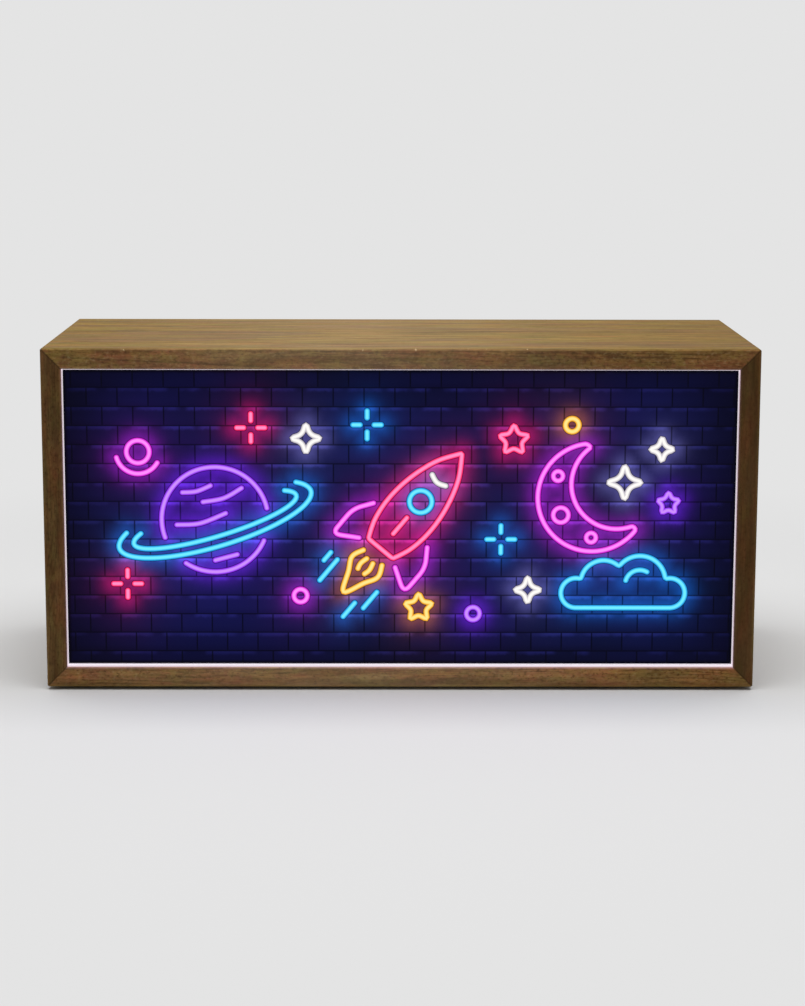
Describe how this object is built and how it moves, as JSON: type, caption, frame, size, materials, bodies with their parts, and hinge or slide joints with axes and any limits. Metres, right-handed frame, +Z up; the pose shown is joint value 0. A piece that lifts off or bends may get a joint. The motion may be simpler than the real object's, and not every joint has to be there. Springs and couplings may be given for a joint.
{
  "type": "light box sign",
  "caption": "Table-top light box sign: mitred wooden box with a recessed picture panel lit from behind, and a rocker switch and low-voltage inlet on the back.",
  "frame": {"origin": "on the table, under the middle of the box", "axes": "+X to the viewer's right along the picture, +Y to the rear, +Z up; the picture faces -Y"},
  "size_m": [0.42, 0.18, 0.204],
  "materials": {
    "walnut_top": "satin walnut finish, light top face",
    "walnut_bottom": "satin walnut finish",
    "walnut_side": "satin walnut finish, darker",
    "pine": "bare sawn pine",
    "opal_acrylic": "opal white, lit from behind",
    "picture_film": "printed film, lit from behind",
    "back_board": "white-faced hardboard",
    "zinc_steel": "zinc plated",
    "strip_white": "white solder mask",
    "led_yellow": "white package with phosphor",
    "chip_black": "matte black",
    "red_wire": "red insulation",
    "black_wire": "black insulation",
    "clip_white": "white moulded plastic",
    "plate_black": "spark-textured black",
    "switch_black": "fine-textured black",
    "plunger_white": "natural nylon",
    "spring_steel": "bright wire",
    "contact_copper": "copper strip",
    "terminal_brass": "bare brass",
    "inlet_black": "moulded black",
    "inlet_metal": "nickel plated",
    "foot_rubber": "soft black rubber"
  },
  "bodies": {
    "case": {"top_board": "walnut_top", "bottom_board": "walnut_bottom", "left_board": "walnut_side", "right_board": "walnut_side", "corner_block_bottom_left": "pine", "corner_block_bottom_right": "pine", "corner_block_top_left": "pine", "corner_block_top_right": "pine", "mid_block_top": "pine", "mid_block_bottom": "pine", "diffuser_sheet": "opal_acrylic", "print_film": "picture_film", "back_panel": "back_board", "back_screws": "zinc_steel", "plate_screws": "zinc_steel", "inlet_nut": "zinc_steel", "led_strip_1": "strip_white", "led_strip_2": "strip_white", "led_strip_3": "strip_white", "led_strip_4": "strip_white", "led_row_1": "led_yellow", "led_row_2": "led_yellow", "led_row_3": "led_yellow", "led_row_4": "led_yellow", "strip_resistors": "chip_black", "jumper_wires_red": "red_wire", "feed_wire": "red_wire", "switched_wire": "red_wire", "jumper_wires_black": "black_wire", "return_wire": "black_wire", "wire_clips": "clip_white", "control_plate": "plate_black", "switch_housing": "switch_black", "switch_terminal_common": "terminal_brass", "switch_terminal_load": "terminal_brass", "inlet_body": "inlet_black", "inlet_pin": "inlet_metal", "inlet_sleeve_contact": "inlet_metal", "foot_front_left": "foot_rubber", "foot_front_right": "foot_rubber", "foot_rear_left": "foot_rubber", "foot_rear_right": "foot_rubber"},
    "rocker": {"switch_rocker": "switch_black", "switch_plunger": "plunger_white", "switch_spring": "spring_steel"},
    "contact": {"switch_contact": "contact_copper"}
  },
  "joints": [
    {"name": "rocker_tilt", "type": "hinge", "parent": "case", "child": "rocker", "pos_m": [-0.174, 0.0843, 0.082], "axis": [1, 0, 0], "range_deg": [-24, 0]},
    {"name": "contact_tilt", "type": "hinge", "parent": "case", "child": "contact", "pos_m": [-0.174, 0.07505, 0.082], "axis": [1, 0, 0], "range_deg": [0, 16]}
  ],
  "couplings": [
    {"joint": "contact_tilt", "follows": "rocker_tilt", "ratio": -0.6666}
  ]
}
